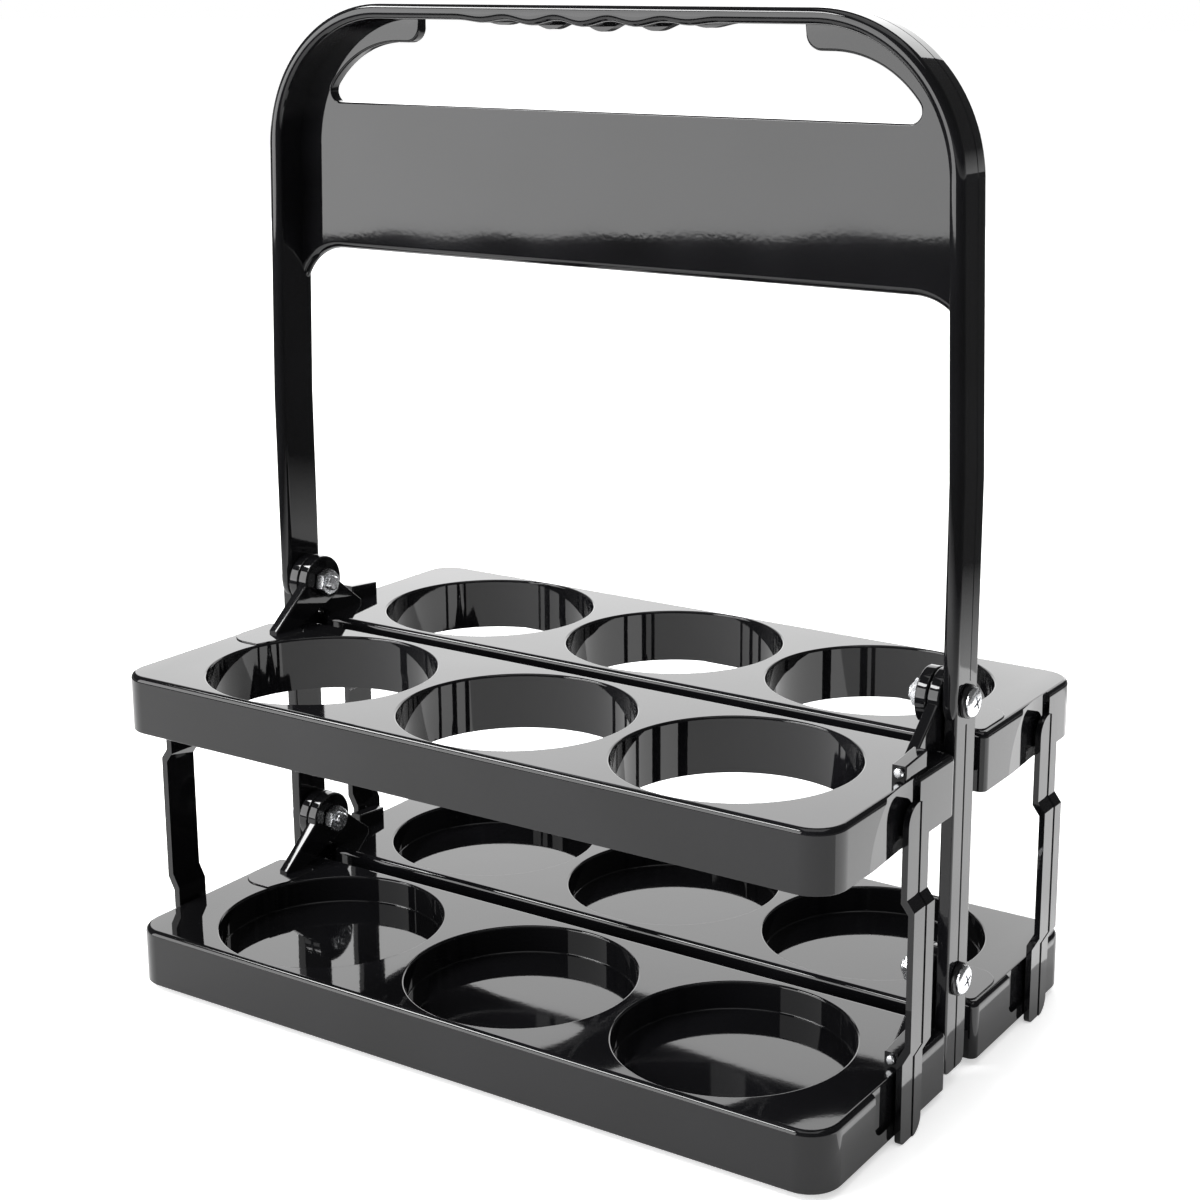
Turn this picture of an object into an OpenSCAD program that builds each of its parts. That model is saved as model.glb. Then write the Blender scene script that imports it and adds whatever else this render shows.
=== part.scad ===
// Folding six pack carrier. Units are millimetres, +Z is up and +X is to the right.
// The origin is on the ground, under the middle of the handle.
// Each tray hangs on the legs by two bolts and folds up beside the handle.
// The links keep an upper and a lower tray parallel while they fold.

/* [Trays] */
// Length of each tray along X
tray_l = 256.8; // [250:0.1:264]
// Depth of each tray along Y
tray_d = 77.9; // [77:0.1:81]
// Gap between the front and the back trays
tray_gap = 7.7; // [7:0.1:12]
// Height of the skirt round each tray
skirt_h = 18.5; // [16:0.5:24]
// Wall of the trays
wall = 1.9; // [1.6:0.1:2.2]
// Corner radius at a tray's outer corners
corner_r = 10; // [6:0.5:14]
// Corner radius at a tray's inner corners
inner_r = 2.5; // [2:0.1:3.5]
// Radius along a tray's top edges
edge_r = 1.8; // [1:0.1:1.9]
// Height of the lower skirts above the ground
skirt_lift = 2.5; // [2:0.1:6]
// Height from the lower tray tops to the upper tray tops
level_h = 85.9; // [84:0.1:95]

/* [Cups] */
// Diameter of each bottle hole
cup_d = 72; // [66:0.5:72.5]
// Spacing of the bottle holes along X
cup_pitch = 77.1; // [76.5:0.1:79]
// How far the holes sit from a tray's middle towards its outer edge
cup_shift = 0.7; // [0:0.1:0.9]
// Height of the collar round an upper hole
collar_h = 17.8; // [12:0.1:18.4]
// Depth of a lower cup
cup_h = 9; // [6:0.1:16]
// Thickness of a lower cup's floor
floor_t = 1.4; // [1:0.1:1.9]
// Chamfer round the rim of each hole
cup_chamfer = 0.6; // [0.3:0.1:1]

/* [Hinge ears] */
// Height of the hinge bolts above the tray tops
hinge_h = 13.5; // [12:0.1:15]
// Thickness of a hinge ear
ear_t = 3.7; // [3:0.1:4]
// Radius of an ear round its bolt
ear_r = 8.75; // [8:0.05:10]
// Distance from the bolt to the ear's heel
heel_y = 23.6; // [20:0.1:26]
// Running gap at the sides of the ears
side_gap = 0.3; // [0.2:0.05:0.5]
// Notch for the leg at the end that has the outer ear
notch_outer = 7.1; // [6.9:0.1:9]
// Notch for the leg at the end that has the inner ear
notch_inner = 12.5; // [11:0.1:14]
// Length of the foot block beside the outer ear
foot_l = 13; // [10:0.5:16]
// Height of the foot block
foot_h = 4.2; // [4:0.1:5]
// Diameter of the keeper pin in the foot block
keeper_d = 3; // [2.4:0.1:3.2]
// How far the keeper pin stands out of the block
keeper_out = 1.2; // [0.6:0.1:2]
// Height of the raised pad on the top by the inner ear
pad_h = 0.4; // [0.2:0.1:0.6]

/* [Bolts] */
// Diameter of the bolts
bolt_d = 5; // [4:0.5:6]
// Running clearance round a shaft, on the radius
fit = 0.08; // [0.04:0.01:0.1]
// Diameter of a bolt's round head
head_d = 8.8; // [8:0.1:10]
// Thickness of a bolt's head
head_t = 1.8; // [1.4:0.1:2.4]
// Diameter of the black washer under the head
washer_d = 10; // [9:0.5:12]
// Thickness of the washer
washer_t = 1.5; // [1:0.1:2]
// Size of the nut across its flats
nut_af = 8; // [7:0.5:9]
// Thickness of the nut
nut_t = 3.2; // [2.4:0.1:4]
// How far the bolt's tail stands out of the nut
tail_out = 1.6; // [1:0.1:3]

/* [Links] */
// Width of each link
link_w = 12; // [10:0.5:13]
// Thickness of each link
link_t = 1.9; // [1.6:0.1:2.4]
// How far the middle of a link stands out of its ends
jog = 2.4; // [1.5:0.1:3]
// Height of the thicker strip along a link's outer face
rib_h = 0.3; // [0.2:0.1:0.5]
// Width of that strip as it shows
rib_w = 4.8; // [3:0.1:6]
// Distance from a tray's top down to the link's pivot
pivot_drop = 11.4; // [11:0.1:12]
// Distance from the centre plane to the outer ear's link
link_y_outer = 35; // [34:0.5:38]
// Distance from the centre plane to the inner ear's link
link_y_inner = 54.5; // [50:0.5:58]
// Diameter of a link's pivot stud
stud_d = 4.8; // [4:0.1:5.5]
// Clearance round the lower stud, on the radius
stud_play = 0.3; // [0.2:0.05:0.5]
// Depth of the recesses in the end walls
recess_t = 1.2; // [0.8:0.1:1.4]
// Radius of the fan recess round an upper link
fan_r = 24.5; // [20:0.5:26]
// Width of the pocket beside a lower link
pocket_w = 17.5; // [14:0.5:20]
// Depth of the pocket down the end wall
pocket_h = 14; // [12:0.5:15]

/* [Handle] */
// Height of the handle's top above the ground
handle_h = 313.2; // [300:0.1:330]
// Width across the handle at its corners
handle_w = 250; // [246:0.1:252]
// Outer radius of the handle's corners
handle_r = 47; // [40:0.5:55]
// Width of the rim from front to back
rim_w = 16; // [15:0.5:18]
// Thickness of the rim
rim_t = 4.7; // [4:0.1:5]
// Height where the legs stop leaning
knee_h = 185; // [170:1:200]
// How far the legs stand inside the trays' ends
leg_set = 0.7; // [0.7:0.1:2]
// Width of the legs below the upper bolt
leg_w = 13.2; // [12:0.1:13.4]
// Thickness of the legs below the upper bolt
leg_t = 4.1; // [3.6:0.1:4.4]
// Height of the legs' lower ends above the ground
leg_lift = 5; // [4:0.5:8]
// Width of the groove down each lower leg
groove_w = 1; // [0.6:0.1:1.6]
// Depth of the groove
groove_t = 0.6; // [0.3:0.1:1]

/* [Panel] */
// Thickness of the panel
panel_t = 4; // [3:0.1:4.4]
// Distance from the panel's back to the rim's back
panel_set = 1; // [0.6:0.1:2]
// Height of the panel's lower edge above the ground
panel_low = 234.5; // [225:0.5:245]
// Radius where the panel's lower edge meets the legs
panel_r = 18; // [12:0.5:24]
// Height of the hand hole's lower edge above the ground
hole_low = 282; // [276:0.5:286]
// Width of the panel's band round the handle's corners
band_w = 7.3; // [6:0.1:9]
// Distance from the middle to the end of a band
band_end = 69.5; // [60:0.5:74]
// Radius of the hand hole's lower corners
hole_r = 3.5; // [2:0.5:5]

/* [Finger grip] */
// Number of finger bumps
bumps = 5; // [3:1:7]
// Spacing of the bumps
bump_pitch = 19; // [17:0.5:21]
// Depth of the bumps on the rim
bump_h = 1.6; // [0.8:0.1:2]
// How much deeper the bumps are on the comb behind
comb_h = 1.4; // [0.8:0.1:2]

/* [Hidden] */
$fn = 96;
eps = 0.01;
tray_x = tray_l / 2;
tray_in = tray_gap / 2;
tray_out = tray_in + tray_d;
cup_y = tray_in + tray_d / 2 + cup_shift;
cup_xs = [-cup_pitch, 0, cup_pitch];
lower_z = skirt_lift + skirt_h;
upper_z = lower_z + level_h;
leg_out = tray_x - leg_set;
leg_in = leg_out - rim_t;
ear_outer_x = leg_in - side_gap - ear_t;
ear_inner_x = ear_outer_x - side_gap - ear_t;
notch_x = ear_outer_x - side_gap / 2;
nut_x = ear_inner_x - side_gap - nut_t;
tail_x = nut_x - tail_out;
link_x = tray_x + side_gap;
liner_t = 1.6;
liner_x = tray_x - wall - liner_t;
barb_t = 1;
barb_x = liner_x - side_gap - barb_t;
foot_y = heel_y - 1;
block_lap = 0.7;
block_x = ear_outer_x + ear_t - block_lap;
block_w = tray_x - edge_r - block_x;
link_end_r = link_w / 2;
link_top = upper_z - pivot_drop + link_end_r;
foot_r = [2, 5];
fan_drop = 9;
pocket_r = 4;
heel_h = 1.2;
keeper_x = ear_outer_x + ear_t + keeper_d / 2 + side_gap;
keeper_z = foot_h / 2;
pad_l = 18;
pad_r = 8;
barb_out = 0.8;
leg_r = 3;
head_c = 0.5;
band_r = 5;
round_in = leg_out - rim_t - panel_r;
jog_high = [upper_z - 35.5, upper_z - 32.3];
jog_low = [lower_z + 4.2, lower_z + 8.7];
corner_x = handle_w / 2 - handle_r;
corner_z = handle_h - handle_r;
panel_y = rim_w / 2 - panel_set - panel_t;
bar_low = handle_h - rim_t;
grip_l = bumps * bump_pitch;

// Extrudes a drawing in Y and Z along X, from x over a length
module along_x(x, length) {
    translate([x, 0, 0]) rotate([90, 0, 90]) linear_extrude(length) children();
}

// Extrudes a drawing in X and Z along Y, from y over a length
module along_y(y, length) {
    translate([0, y + length, 0]) rotate([90, 0, 0]) linear_extrude(length) children();
}

// A round bar along X
module bar_x(x, length, d) {
    along_x(x, length) circle(d = d);
}

// Turns a front or right piece round to the back or left
module turned(yes) {
    rotate([0, 0, yes ? 180 : 0]) children();
}

// Centres of the four corner radii of a block from low to high
function corner_centres(low, high, r) = [[low.x + r[0], low.y + r[0]],
    [high.x - r[1], low.y + r[1]], [high.x - r[2], high.y - r[2]], [low.x + r[3], high.y - r[3]]];

// Plan of such a block, moved in by inset
module plan(low, high, r, inset) {
    c = corner_centres(low, high, r);
    polygon([[c[0].x, low.y + inset], [c[1].x, low.y + inset], [high.x - inset, c[1].y],
        [high.x - inset, c[2].y], [c[2].x, high.y - inset], [c[3].x, high.y - inset],
        [low.x + inset, c[3].y], [low.x + inset, c[0].y]]);
    for (i = [0:3]) translate(c[i]) circle(r[i] - inset);
}

// A bar that rounds a straight top edge from one point to another
module edge_bar(from, to) {
    translate([from.x, from.y, -edge_r]) rotate([0, 90, from.x == to.x ? 90 : 0])
        cylinder(r = edge_r, h = norm(to - from));
}

// A disc that rounds the top of a corner of radius r
module edge_disc(r) {
    translate([0, 0, -edge_r]) rotate_extrude() {
        square([r - edge_r, edge_r]);
        translate([r - edge_r, 0]) intersection() {
            circle(edge_r);
            square(edge_r);
        }
    }
}

// A block that hangs down from z = 0, with rounded top edges
module rounded_block(low, high, r) {
    c = corner_centres(low, high, r);
    translate([0, 0, -skirt_h]) {
        linear_extrude(skirt_h - edge_r) plan(low, high, r, 0);
        linear_extrude(skirt_h) plan(low, high, r, edge_r);
    }
    edge_bar([c[0].x, low.y + edge_r], [c[1].x, low.y + edge_r]);
    edge_bar([high.x - edge_r, c[1].y], [high.x - edge_r, c[2].y]);
    edge_bar([c[3].x, high.y - edge_r], [c[2].x, high.y - edge_r]);
    edge_bar([low.x + edge_r, c[0].y], [low.x + edge_r, c[3].y]);
    for (i = [0:3]) translate(c[i]) edge_disc(r[i]);
}

// The front tray's three blocks: the whole, the middle strip and the end with the outer ear
tray_blocks = [
    [[-tray_x, -tray_out], [tray_x, -notch_inner], [corner_r, corner_r, inner_r, inner_r]],
    [[-notch_x, -cup_y], [notch_x, -tray_in], [inner_r, inner_r, inner_r, inner_r]],
    [[tray_x / 2, -cup_y], [tray_x, -notch_outer], [inner_r, inner_r, inner_r, inner_r]]];

// Skirt and top plate of the front tray, hollow underneath
module tray_shell() {
    difference() {
        for (b = tray_blocks) rounded_block(b[0], b[1], b[2]);
        translate([0, 0, -skirt_h - eps]) linear_extrude(skirt_h - wall + eps)
            for (b = tray_blocks) plan(b[0], b[1], b[2], wall);
    }
}

// Moves a piece made for y = 0 at the right end to one of the front tray's two links
module at_link(outer) {
    translate([0, outer ? -link_y_outer : -link_y_inner, 0]) rotate([0, 0, outer ? 0 : 180])
        children();
}

// Thicker wall behind a link
module liner() {
    translate([liner_x, -fan_r, -skirt_h])
        cube([liner_t + wall / 2, fan_r + link_w / 2 + 1, skirt_h - wall / 2]);
}

// Fan shaped ramp beside an upper link, which deepens towards it
module fan_recess() {
    near = link_w / 2 - 1;
    intersection() {
        along_x(tray_x - 2 * recess_t, 4 * recess_t) translate([0, -pivot_drop - fan_drop])
            circle(fan_r);
        translate([0, 0, -skirt_h - 1]) linear_extrude(skirt_h + 2)
            polygon([[tray_x, -fan_r], [tray_x - recess_t, -near], [tray_x - recess_t, near],
                [tray_x + recess_t, near], [tray_x + recess_t, -fan_r]]);
    }
}

// Pocket beside a lower link, open at the top
module pocket_recess() {
    near = link_w / 2 - 1;
    along_x(tray_x - recess_t, 2 * recess_t) {
        translate([-pocket_w, pocket_r - pocket_h]) square([pocket_w + near, pocket_h]);
        translate([pocket_r - pocket_w, -pocket_h]) square([pocket_w + near - pocket_r, pocket_h]);
        translate([pocket_r - pocket_w, pocket_r - pocket_h]) circle(pocket_r);
    }
}

// Hinge ear in Y and Z: a round eye on a slanted arm, whose foot ends at y = foot_in
module ear_outline(foot_in) {
    translate([0, hinge_h]) circle(ear_r);
    polygon([[-heel_y, -wall / 2], [-heel_y, heel_h], [-ear_r, hinge_h], [0, hinge_h],
        [ear_r * cos(45), hinge_h - ear_r * sin(45)], [foot_in, 0], [foot_in, -wall / 2]]);
}

// Outer ear at the right end, with the foot block that holds the keeper pin
module outer_ear() {
    along_x(ear_outer_x, ear_t) ear_outline(-notch_outer - side_gap);
    difference() {
        along_x(block_x, block_w) polygon([[-foot_y, -wall / 2], [-foot_y, foot_h + heel_h],
            [-foot_y - foot_l, foot_h], [-foot_y - foot_l, -wall / 2]]);
        translate([keeper_x, 0, keeper_z]) rotate([90, 0, 0])
            cylinder(d = keeper_d + 2 * fit, h = foot_y + foot_l + 1);
    }
}

// Inner ear at the left end, with the raised pad beside it
module inner_ear() {
    along_x(-ear_inner_x - ear_t, ear_t) ear_outline(-notch_inner - side_gap);
    low = [edge_r - tray_x, -heel_y - link_w];
    high = [pad_l - tray_x, -notch_inner - edge_r];
    translate([0, 0, -wall / 2]) linear_extrude(wall / 2 + pad_h)
        plan(low, high, [pad_r, inner_r, inner_r, inner_r], 0);
}

// A front tray with its top at z = 0. The lower trays have cups, the upper trays have holes
module tray(lower) {
    depth = lower ? cup_h : skirt_h;
    collar = lower ? cup_h + floor_t : collar_h;
    difference() {
        union() {
            tray_shell();
            for (x = cup_xs) translate([x, -cup_y, -collar])
                cylinder(d = cup_d + 2 * wall, h = collar - wall / 2);
            for (x = [-cup_pitch / 2, cup_pitch / 2])
                translate([x - wall / 2, -tray_out + wall / 2, -collar_h])
                    cube([wall, tray_d - wall, collar_h - wall / 2]);
            for (outer = [true, false]) at_link(outer) liner();
            outer_ear();
            inner_ear();
        }
        for (x = cup_xs) translate([x, -cup_y, 0]) {
            translate([0, 0, -depth]) cylinder(d = cup_d, h = depth + 1);
            translate([0, 0, -cup_chamfer])
                cylinder(d1 = cup_d, d2 = cup_d + 4 * cup_chamfer, h = 2 * cup_chamfer);
        }
        for (outer = [true, false]) at_link(outer) {
            if (lower) pocket_recess();
            else fan_recess();
            translate([0, 0, -pivot_drop])
                bar_x(liner_x - 1, tray_x, stud_d + 2 * (lower ? stud_play : fit));
        }
        translate([0, 0, hinge_h]) bar_x(-tray_x, tray_l, bolt_d + 2 * fit);
    }
}

// Side of a link in X and Z, over its whole height, with a thickness
module link_side(thickness) {
    x = link_x;
    outer = x + thickness;
    slope = jog / 2;
    polygon([[x, 0], [outer, 0], [outer, jog_low[0]], [outer + jog, jog_low[1]],
        [outer + jog, jog_high[0]], [outer, jog_high[1]], [outer, link_top], [x, link_top],
        [x, jog_high[1] - slope], [x + jog, jog_high[0] - slope], [x + jog, jog_low[1] + slope],
        [x, jog_low[0] + slope]]);
}

// A link at y = 0 at the right end, with a stud and a barb at each pivot
module link() {
    intersection() {
        union() {
            along_y(-link_w / 2, link_w) link_side(link_t);
            along_y(link_w / 2 - rib_w, rib_w) link_side(link_t + rib_h);
        }
        along_x(link_x - jog, 3 * (link_t + jog)) {
            translate([-link_w / 2, link_end_r]) square([link_w, link_top - 2 * link_end_r]);
            translate([0, link_top - link_end_r]) circle(link_end_r);
            for (i = [0, 1]) scale([i == 0 ? -1 : 1, 1]) {
                translate([link_w / 2 - foot_r[i], foot_r[i]]) circle(foot_r[i]);
                square([link_w / 2 - foot_r[i], link_w]);
                translate([0, foot_r[i]]) square([link_w / 2, link_w - foot_r[i]]);
            }
        }
    }
    for (top = [lower_z, upper_z]) translate([0, 0, top - pivot_drop]) {
        bar_x(barb_x, link_x + link_t / 2 - barb_x, stud_d);
        bar_x(barb_x, barb_t, stud_d + 2 * barb_out);
    }
}

// A slab of the handle's outline moved in by inset, from y over a depth
module handle_slab(y, depth, inset) {
    low = upper_z + hinge_h - rim_w;
    top = handle_w / 2 - inset;
    foot = leg_out - inset;
    for (x = [-corner_x, corner_x]) along_y(y, depth) translate([x, corner_z])
        circle(handle_r - inset);
    along_y(y, depth) translate([-corner_x, knee_h])
        square([2 * corner_x, handle_h - inset - knee_h]);
    along_y(y, depth) polygon([[-top, corner_z], [top, corner_z], [foot, knee_h], [foot, low],
        [-foot, low], [-foot, knee_h]]);
}

// The hand hole in X and Z
module hand_hole() {
    r = handle_r - rim_t - band_w;
    top = corner_z + r;
    round_z = hole_low + hole_r - corner_z;
    round_x = sqrt(pow(r - hole_r, 2) - pow(round_z, 2));
    far = 2 * r / (r - hole_r);
    for (side = [-1, 1]) scale([side, 1]) {
        translate([corner_x, corner_z]) intersection() {
            circle(r);
            polygon([[-corner_x, hole_low - corner_z], [round_x, hole_low - corner_z],
                [round_x, round_z], [round_x, round_z] * far, [2 * r, 2 * r], [-corner_x, 2 * r]]);
        }
        translate([corner_x + round_x, corner_z + round_z]) circle(hole_r);
        difference() {
            translate([0, top - eps]) square([band_end + band_r, band_r + eps]);
            translate([band_end + band_r, top + band_r]) circle(band_r);
            translate([band_end + band_r, top]) square(band_r);
        }
    }
    translate([-corner_x, hole_low]) square([2 * corner_x, top - hole_low]);
    translate([-band_end, hole_low]) square([2 * band_end, handle_h - rim_t - hole_low + eps]);
}

// The window between the legs in X and Z, with round upper corners
module leg_window() {
    translate([-round_in, 0]) square([2 * round_in, panel_low]);
    translate([-leg_out, 0]) square([2 * leg_out, panel_low - panel_r]);
    for (x = [-round_in, round_in]) translate([x, panel_low - panel_r]) circle(panel_r);
}

// Depth of the finger bumps at x
function bump(x) = cos(90 * x / (grip_l / 2 + 8)) * (1 + cos(360 * x / bump_pitch)) / 2;

// The bumps in X and Z under the bar, with a depth at the middle
module bumps_outline(depth) {
    steps = 16 * bumps;
    polygon([[grip_l / 2, bar_low + rim_t / 2], [-grip_l / 2, bar_low + rim_t / 2],
        for (i = [0:steps]) let (x = grip_l * (i / steps - 0.5)) [x, bar_low - depth * bump(x)]]);
}

// The rim, the bar and the upper legs, which end round at the upper bolts
module rim() {
    intersection() {
        difference() {
            handle_slab(-rim_w / 2, rim_w, 0);
            handle_slab(-rim_w / 2 - 1, rim_w + 2, rim_t);
        }
        along_x(-handle_w, 2 * handle_w) {
            translate([-rim_w / 2, upper_z + hinge_h]) square([rim_w, handle_h]);
            translate([0, upper_z + hinge_h]) circle(rim_w / 2);
        }
    }
}

// A leg below the upper bolt, at the right end, with a groove down its outer face
module lower_leg() {
    foot_z = leg_lift + leg_r;
    difference() {
        along_x(leg_out - leg_t, leg_t) {
            translate([-leg_w / 2, foot_z]) square([leg_w, upper_z + hinge_h - foot_z]);
            translate([leg_r - leg_w / 2, leg_lift]) square([leg_w - 2 * leg_r, 2 * leg_r]);
            for (y = [-1, 1]) translate([y * (leg_w / 2 - leg_r), foot_z]) circle(leg_r);
        }
        translate([leg_out - groove_t, -groove_w / 2, 0])
            cube([groove_t + 1, groove_w, upper_z]);
    }
}

// The rim, the bar and both legs
module handle_frame() {
    color("#1c1c1e") difference() {
        union() {
            rim();
            for (left = [false, true]) turned(left) lower_leg();
            along_y(-rim_w / 2, rim_w) bumps_outline(bump_h);
            along_y(panel_y, panel_t) bumps_outline(bump_h + comb_h);
        }
        for (z = [lower_z, upper_z]) translate([0, 0, z + hinge_h])
            bar_x(-handle_w, 2 * handle_w, bolt_d + 2 * fit);
    }
}

// The panel under the bar, moulded in one with the rim
module handle_panel() {
    color("#1c1c1e") difference() {
        handle_slab(panel_y, panel_t, rim_t);
        along_y(panel_y - 1, panel_t + 2) leg_window();
        along_y(panel_y - 1, panel_t + 2) hand_hole();
    }
}

// A tray in its place, at the front or turned to the back
module placed_tray(lower, back) {
    color(lower ? "#242427" : "#2a2a2d") translate([0, 0, lower ? lower_z : upper_z])
        turned(back) tray(lower);
}

// A link in its place. Left front and right back links stand beside inner ears
module placed_link(back, left) {
    color("#303034") turned(back) at_link(back == left) link();
}

// A bolt with a round head, from the right
module bolt() {
    head_x = leg_out + washer_t;
    color("#d9dadc") {
        bar_x(tail_x, head_x - tail_x + eps, bolt_d);
        bar_x(head_x, head_t - head_c, head_d);
        translate([head_x + head_t - head_c, 0, 0]) rotate([0, 90, 0])
            cylinder(d1 = head_d, d2 = head_d - 2 * head_c, h = head_c);
    }
}

module nut() {
    color("#c9cacd") difference() {
        translate([nut_x, 0, 0]) rotate([0, 90, 0])
            cylinder(d = nut_af / cos(30), h = nut_t, $fn = 6);
        bar_x(nut_x - 1, nut_t + 2, bolt_d + 2 * fit);
    }
}

module washer() {
    color("#18181a") difference() {
        bar_x(leg_out, washer_t, washer_d);
        bar_x(leg_out - 1, washer_t + 2, bolt_d + 2 * fit);
    }
}

// Places a bolt, nut or washer at an upper or lower hinge on the left or right
module at_hinge(lower, left) {
    translate([0, 0, (lower ? lower_z : upper_z) + hinge_h]) turned(left) children();
}

// A steel pin in the foot block of an outer ear
module keeper_pin(lower, back) {
    tip = -foot_y - foot_l;
    color("#d2d3d6") translate([0, 0, lower ? lower_z : upper_z]) turned(back)
        translate([keeper_x, 0, keeper_z]) rotate([90, 0, 0]) {
            translate([0, 0, foot_y + side_gap]) cylinder(d = keeper_d, h = foot_l - side_gap);
            translate([0, 0, -tip - eps]) cylinder(d = keeper_d, h = keeper_out / 2 + eps);
            translate([0, 0, keeper_out / 2 - tip])
                cylinder(d1 = keeper_d, d2 = keeper_d * 0.6, h = keeper_out / 2);
        }
}

handle_frame();
handle_panel();
placed_tray(false, false);  // tray_upper_front
placed_tray(false, true);  // tray_upper_back
placed_tray(true, false);  // tray_lower_front
placed_tray(true, true);  // tray_lower_back
placed_link(false, true);  // link_front_left
placed_link(false, false);  // link_front_right
placed_link(true, true);  // link_back_left
placed_link(true, false);  // link_back_right
at_hinge(false, true) bolt();  // bolt_upper_left
at_hinge(false, false) bolt();  // bolt_upper_right
at_hinge(true, true) bolt();  // bolt_lower_left
at_hinge(true, false) bolt();  // bolt_lower_right
at_hinge(false, true) nut();  // nut_upper_left
at_hinge(false, false) nut();  // nut_upper_right
at_hinge(true, true) nut();  // nut_lower_left
at_hinge(true, false) nut();  // nut_lower_right
at_hinge(false, true) washer();  // washer_upper_left
at_hinge(false, false) washer();  // washer_upper_right
at_hinge(true, true) washer();  // washer_lower_left
at_hinge(true, false) washer();  // washer_lower_right
keeper_pin(false, false);  // keeper_pin_upper_front
keeper_pin(false, true);  // keeper_pin_upper_back
keeper_pin(true, false);  // keeper_pin_lower_front
keeper_pin(true, true);  // keeper_pin_lower_back
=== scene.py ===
# Folding six pack carrier: glossy black moulded plastic with bright steel bolts.
# Sizes are millimetres in the part's frame. finishPiece() turns each piece into metres.
import math
import bpy
import bmesh
from mathutils import Matrix, Vector


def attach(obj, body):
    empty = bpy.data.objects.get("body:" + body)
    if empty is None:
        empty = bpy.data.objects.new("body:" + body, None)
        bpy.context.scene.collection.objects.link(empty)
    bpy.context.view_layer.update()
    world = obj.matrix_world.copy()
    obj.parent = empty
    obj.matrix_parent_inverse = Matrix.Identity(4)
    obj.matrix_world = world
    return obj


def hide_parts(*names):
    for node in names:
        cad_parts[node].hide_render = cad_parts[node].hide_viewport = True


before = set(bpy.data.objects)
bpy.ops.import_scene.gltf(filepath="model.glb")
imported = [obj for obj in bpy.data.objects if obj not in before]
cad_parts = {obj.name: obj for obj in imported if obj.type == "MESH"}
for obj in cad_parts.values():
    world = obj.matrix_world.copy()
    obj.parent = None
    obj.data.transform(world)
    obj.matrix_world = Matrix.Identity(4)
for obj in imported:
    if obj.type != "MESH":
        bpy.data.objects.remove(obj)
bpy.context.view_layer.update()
millimetre = 0.001

levels = {"lower": 21.0, "upper": 106.9}    # tray tops above the ground
hinge = {"up": 13.5, "bore": 5.16, "bolt": 5.0}


# The camera

camera = {
    "place": (0.375375, -0.538153, 0.313174),
    "yaw": 0.5424, "pitch": 0.2336, "roll": 0.0087,
    "lens": 64.74, "shift": (-0.1160, -0.0668),
}


def makeCamera():
    yaw, pitch, roll = camera["yaw"], camera["pitch"], camera["roll"]
    forward = Vector((-math.sin(yaw) * math.cos(pitch), math.cos(yaw) * math.cos(pitch),
                      -math.sin(pitch)))
    right = forward.cross(Vector((0, 0, 1))).normalized()
    up = right.cross(forward)
    across = right * math.cos(roll) + up * math.sin(roll)
    upright = up * math.cos(roll) - right * math.sin(roll)
    data = bpy.data.cameras.new("camera")
    data.sensor_width = 36
    data.lens = camera["lens"]
    data.shift_x, data.shift_y = camera["shift"]
    data.clip_start = 0.01
    obj = bpy.data.objects.new("camera", data)
    turn = Matrix((across, upright, -forward)).transposed().to_4x4()
    obj.matrix_world = Matrix.Translation(camera["place"]) @ turn
    bpy.context.scene.collection.objects.link(obj)
    bpy.context.scene.camera = obj


makeCamera()
print("carrier: camera placed")


# Materials

def toLinear(code):    # sRGB hex to linear colour
    parts = [int(code[i:i + 2], 16) / 255 for i in (1, 3, 5)]
    return [p / 12.92 if p <= 0.04045 else ((p + 0.055) / 1.055) ** 2.4 for p in parts] + [1]


def addNode(tree, kind, settings=(), links=()):
    node = tree.nodes.new(kind)
    for name, value in dict(settings).items():
        if name in node.inputs:
            node.inputs[name].default_value = value
        else:
            setattr(node, name, value)
    for name, source in dict(links).items():
        tree.links.new(source, node.inputs[name])
    return node


def startMaterial(name):
    material = bpy.data.materials.new(name)
    material.use_nodes = True
    tree = material.node_tree
    tree.nodes.clear()
    place = addNode(tree, "ShaderNodeTexCoord").outputs["Object"]
    return material, tree, place


def endMaterial(tree, shader):
    addNode(tree, "ShaderNodeOutputMaterial", links={"Surface": shader.outputs[0]})


mouldedBlack = {
    "deep": "#0a0a0b", "worn": "#111113",
    "roughness": (0.025, 0.05),
    "flow": 38,             # mm, slow waves where the melt flowed and shrank
    "grain": 1.6,           # mm, orange peel of the polished mould
    "flowDepth": 0.05, "grainDepth": 0.010,
}


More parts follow.
